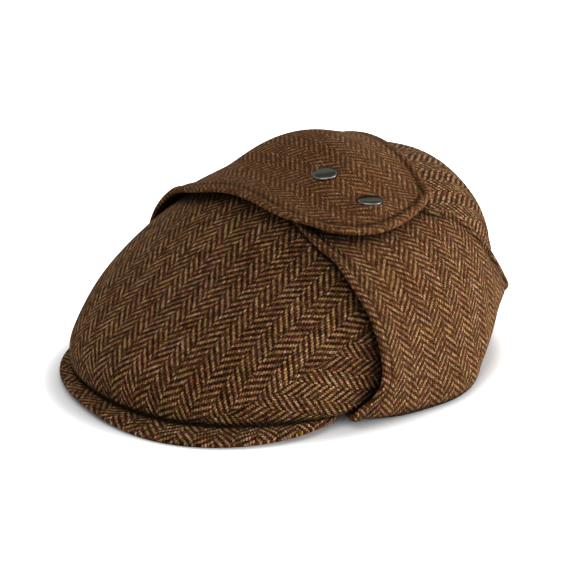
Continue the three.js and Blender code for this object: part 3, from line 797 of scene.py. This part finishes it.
def tweed_material(name, group, reach):
    """Herringbone tweed with painted shade: its colour darkens in gaps narrower than reach, in
    millimetres.
    """
    material, b, shader = new_material(name)
    cloth = b.node("UVMap", uv_map=CLOTH_MAP)
    weave = b.tree.nodes.new("ShaderNodeGroup")
    weave.node_tree = group
    b.feed(weave.inputs["Cloth"], cloth.outputs[0])
    for key in ("Nap", "Edge_sheen", "Groove"):
        b.feed(weave.inputs[key], b.node("Attribute", attribute_name=key.lower()).outputs["Fac"])
    height = weave.outputs["Height"]
    relief = b.node("Bump", {"Strength": RELIEF, "Distance": RELIEF_DEPTH, "Height": height})
    # Painted shade: ambient occlusion darkens the cloth's colour in gaps and under edges
    open_air = b.node("AmbientOcclusion", {"Distance": reach * MM}, samples=6).outputs["AO"]
    dark, light = SHADE_OPEN
    span = {"Value": open_air, "From Min": dark, "From Max": light, "To Min": SHADE_LEAST}
    shade = b.grey(b.node("MapRange", span).outputs[0])
    b.feed(shader.inputs["Base Color"], b.mix(1.0, weave.outputs["Color"], shade, "MULTIPLY"))
    b.feed(shader.inputs["Normal"], relief.outputs[0])
    shader.inputs["Roughness"].default_value = 0.92
    shader.inputs["Specular IOR Level"].default_value = 0.02
    shader.inputs["Sheen Weight"].default_value = 0.05
    shader.inputs["Sheen Roughness"].default_value = 0.45
    shader.inputs["Sheen Tint"].default_value = (0.75, 0.55, 0.35, 1)
    return material


PLATING = ((0.055, 0.054, 0.049, 1), (0.080, 0.079, 0.071, 1))
PLATING_RUBBED = (0.24, 0.235, 0.22, 1)
BRUSH_SCALE, BRUSH_ROUGH = 900.0, (0.08, 0.14)


def gunmetal_material():
    material, b, shader = new_material("gunmetal")
    brush = b.noise(b.node("TexCoord").outputs["Object"], BRUSH_SCALE, 3.0)
    b.feed(shader.inputs["Roughness"], b.math("MULTIPLY_ADD", brush, *BRUSH_ROUGH))
    rim = b.node("Attribute", attribute_name="rim").outputs["Fac"]
    b.feed(shader.inputs["Base Color"], b.mix(rim, b.mix(brush, *PLATING), PLATING_RUBBED))
    shader.inputs["Metallic"].default_value = 1.0
    shader.inputs["Specular Tint"].default_value = (0.45, 0.45, 0.42, 1)
    return material


# Painted light: the floor glows for the camera only, outside an oval about the cap, so it looks white away
# from the cap
GLOW_HALVES = (0.106, 0.126, 1)     # oval about the cap, in metres, from which the floor brightens
GLOW_CENTRE = (0.0, -0.002, 0)
GLOW_FROM, GLOW_TO, GLOW = 0.97, 1.25, 1.6
FLOOR_SCALE, FLOOR_GREYS = 40.0, ((0.86, 0.86, 0.86, 1), (0.9, 0.9, 0.9, 1))


def floor_material():
    material, b, shader = new_material("pale floor")
    place = b.node("TexCoord").outputs["Object"]
    b.feed(shader.inputs["Base Color"], b.mix(b.noise(place, FLOOR_SCALE, 2.0), *FLOOR_GREYS))
    shader.inputs["Roughness"].default_value = 0.9
    shader.inputs["Emission Color"].default_value = (1, 1, 1, 1)
    aside = b.node("VectorMath", {0: place, 1: GLOW_CENTRE}, operation="SUBTRACT")
    oval = b.node("VectorMath", {0: aside.outputs[0], 1: GLOW_HALVES}, operation="DIVIDE")
    reach = b.node("VectorMath", {0: oval.outputs[0]}, operation="LENGTH").outputs["Value"]
    span = {"Value": reach, "From Min": GLOW_FROM, "From Max": GLOW_TO, "To Max": GLOW}
    glow = b.node("MapRange", span, interpolation_type="SMOOTHSTEP")
    seen = b.node("LightPath").outputs["Is Camera Ray"]
    b.feed(shader.inputs["Emission Strength"], b.math("MULTIPLY", glow.outputs[0], seen))
    return material


# Pieces

# Columns and rows of the grids, and edge shapes in millimetres
TOP_GRID, SIDE_GRID, PEAK_GRID = (120, 34), (70, 18), (80, 16)
TOP_HEM, SIDE_HEM, PEAK_HEM, FLAP_HEM = 1.0, 0.8, 1.4, 2.0
FLAP_SWELL, FLAP_GROOVE = 0.9, 0.6

EASE = 1.12                     # the weave lies this much closer on the flaps and side panels
SIDE_TURN, FLAP_TURN = 19, 5    # degrees by which the warp lies off the line from tail to tip
NAP_ACROSS = (-100.0, -60.0)    # between these x the upper flap turns from rubbed a little to soft
NAP_UNDER = 0.45                # how much the lower flap is rubbed


def at_deg(level, deg):
    return crown(level, math.radians(deg))


def make_top_panel(material):
    piece = open_sheet("crown_top_cloth", *TOP_GRID, top_panel)
    lay_flat(piece, at_deg(0.05, -90), at_deg(0.8, -90))
    close_cloth(piece, TOP_HEM)
    finish_cloth(piece, "crown_top", material)


def make_side_panel(side, material):
    mirrored = side == "right"
    piece = open_sheet(f"side_panel_{side}_cloth", *SIDE_GRID, side_panel, mirrored)
    tail, tip = at_deg(0.1, -40), at_deg(0.1, 20)
    if mirrored:
        tail.x, tip.x = -tail.x, -tip.x
    lay_flat(piece, tail, tip, -SIDE_TURN if mirrored else SIDE_TURN, EASE)
    close_cloth(piece, SIDE_HEM)
    finish_cloth(piece, f"side_panel_{side}", material)


def make_ear_flap(side, material):
    over = side == "right"

    def shape(across, along):
        col, row = across * FLAP_COLS, along * FLAP_ROWS
        outer, inner = ear_flap(round(col), round(row), over)
        return outer, inner, round(col) == FLAP_COLS

    def missing(col, row):
        return col > STRIP_COLS and row > BAND_TOP

    piece = open_sheet(f"earflap_{side}_cloth", FLAP_COLS, FLAP_ROWS, shape, over, missing)
    tail, tip = at_deg(0.05, 5), at_deg(0.5, 0)
    if over:
        tail.x, tip.x = -tail.x, -tip.x
    lay_flat(piece, tail, tip, -FLAP_TURN if over else FLAP_TURN, EASE)
    close_cloth(piece, FLAP_HEM, FLAP_SWELL, FLAP_GROOVE)
    nap = piece.data.attributes.new("nap", "FLOAT", "POINT").data
    for v in piece.data.vertices:
        soft = smooth(v.co.x / MM, *NAP_ACROSS) if over else 0
        nap[v.index].value = lerp(NAP_UNDER, 1, soft)
    finish_cloth(piece, f"earflap_{side}", material)


def make_peak(material):
    piece = open_sheet("peak_cloth", *PEAK_GRID, peak)
    rim = at_deg(0, -90)
    lay_flat(piece, rim + Vector((0, -9, 0)), rim + Vector((0, 25, 0)))
    close_cloth(piece, PEAK_HEM)
    finish_cloth(piece, "peak", material)


# Half section of a snap from the top of its dome to the foot of its post: shares of the radius, heights
SNAP_SECTION = (
    (0.0, 1.45), (0.35, 1.42), (0.6, 1.33), (0.75, 1.19), (0.86, 0.98), (0.94, 0.7), (0.985, 0.4),
    (1.0, 0.15), (0.96, 0.1), (0.85, 0.0), (0.27, 0.0), (0.26, -2.4), (0.0, -2.4),
)
SNAP_WELD = 0.001 * MM


def make_snap(node, material):
    """Domed snap cap with a turned rim, on a post through the flap."""
    mirror = Matrix.Scale(-1, 3, (1, 0, 0))
    seat, way = (mirror @ part for part in SNAP_PLACES[node])
    bm = bmesh.new()
    corners = [bm.verts.new((r * SNAP_R * MM, 0, z * MM)) for r, z in SNAP_SECTION]
    edges = [bm.edges.new(pair) for pair in zip(corners, corners[1:])]
    bmesh.ops.spin(bm, geom=corners + edges, axis=(0, 0, 1), cent=(0, 0, 0), angle=2 * math.pi,
                   steps=SNAP_STEPS, use_merge=True)
    bmesh.ops.remove_doubles(bm, verts=bm.verts, dist=SNAP_WELD)
    bmesh.ops.recalc_face_normals(bm, faces=bm.faces)
    turn = Vector((0, 0, 1)).rotation_difference(way).to_matrix().to_4x4()
    bmesh.ops.transform(bm, matrix=Matrix.Translation(seat * MM) @ turn, verts=bm.verts)
    for f in bm.faces:
        f.smooth = True
    piece = new_object(f"{node}_cap", bm)
    rim = piece.data.attributes.new("rim", "FLOAT", "POINT").data
    for v in piece.data.vertices:
        step = v.co / MM - seat
        rim[v.index].value = smooth((step - way * step.dot(way)).length / SNAP_R, *RIM_RUBBED)
    finish_piece(piece, node, material)


# Stage, light and camera

CAMERA_AZIMUTH, CAMERA_ELEVATION = 51.88, 19.8
CAMERA_DISTANCE = 1.1
CAMERA_AIM = Vector((1.5, Y_SHIFT - 2.685, 42.3)) * MM
FRAME_WIDTH = 0.3098        # what the picture spans at the aim, in metres
SENSOR = 36.0
SKY = 0.54
LIGHT_AIM = Vector((0, 0, 0.05))
# Area lights: name, place, width and height in metres, and watts
LIGHTS = (
    ("key", (1.30, 0.98, 0.26), 2.0, 0.5, 23),
    ("glint", (0.78, 0.58, 0.19), 0.26, 0.26, 4.5),
    ("far side", (-1.0, 0.75, 0.6), 1.2, 0.8, 3.5),
    ("front", (0.3, -0.5, 1.3), 1.2, 1.2, 6),
)
FLOOR_HALF = 3.0


def make_camera():
    a, e = math.radians(CAMERA_AZIMUTH), math.radians(CAMERA_ELEVATION)
    back = Vector((math.sin(a) * math.cos(e), -math.cos(a) * math.cos(e), math.sin(e)))
    data = bpy.data.cameras.new("camera")
    data.sensor_width = SENSOR
    data.lens = SENSOR * CAMERA_DISTANCE / FRAME_WIDTH
    camera = bpy.data.objects.new("camera", data)
    camera.location = CAMERA_AIM + back * CAMERA_DISTANCE
    camera.rotation_mode = "QUATERNION"
    camera.rotation_quaternion = (-back).to_track_quat("-Z", "Y")
    bpy.context.scene.collection.objects.link(camera)
    bpy.context.scene.camera = camera


def make_light(name, place, width, height, power):
    data = bpy.data.lights.new(name, "AREA")
    data.shape = "RECTANGLE"
    data.size, data.size_y = width, height
    data.energy = power
    light = bpy.data.objects.new(name, data)
    light.location = place
    light.rotation_mode = "QUATERNION"
    light.rotation_quaternion = (LIGHT_AIM - Vector(place)).to_track_quat("-Z", "Y")
    bpy.context.scene.collection.objects.link(light)


def make_stage():
    bm = bmesh.new()
    bmesh.ops.create_grid(bm, x_segments=8, y_segments=8, size=FLOOR_HALF)
    floor = new_object("floor", bm)
    floor.data.materials.append(floor_material())
    world = bpy.data.worlds.new("studio")
    world.use_nodes = True
    sky = world.node_tree.nodes["Background"]
    sky.inputs["Color"].default_value = (1, 1, 1, 1)
    sky.inputs["Strength"].default_value = SKY
    bpy.context.scene.world = world
    for light in LIGHTS:
        make_light(*light)
    bpy.context.scene.view_settings.view_transform = "Standard"


make_camera()
make_stage()
herringbone = herringbone_group()
tweed = tweed_material("tweed", herringbone, SHADE_REACH)
peak_tweed = tweed_material("peak tweed", herringbone, PEAK_SHADE_REACH)
gunmetal = gunmetal_material()
make_top_panel(tweed)
for hand in ("left", "right"):
    make_side_panel(hand, tweed)
    make_ear_flap(hand, tweed)
make_peak(peak_tweed)
for snap in SNAPS:
    make_snap(snap, gunmetal)
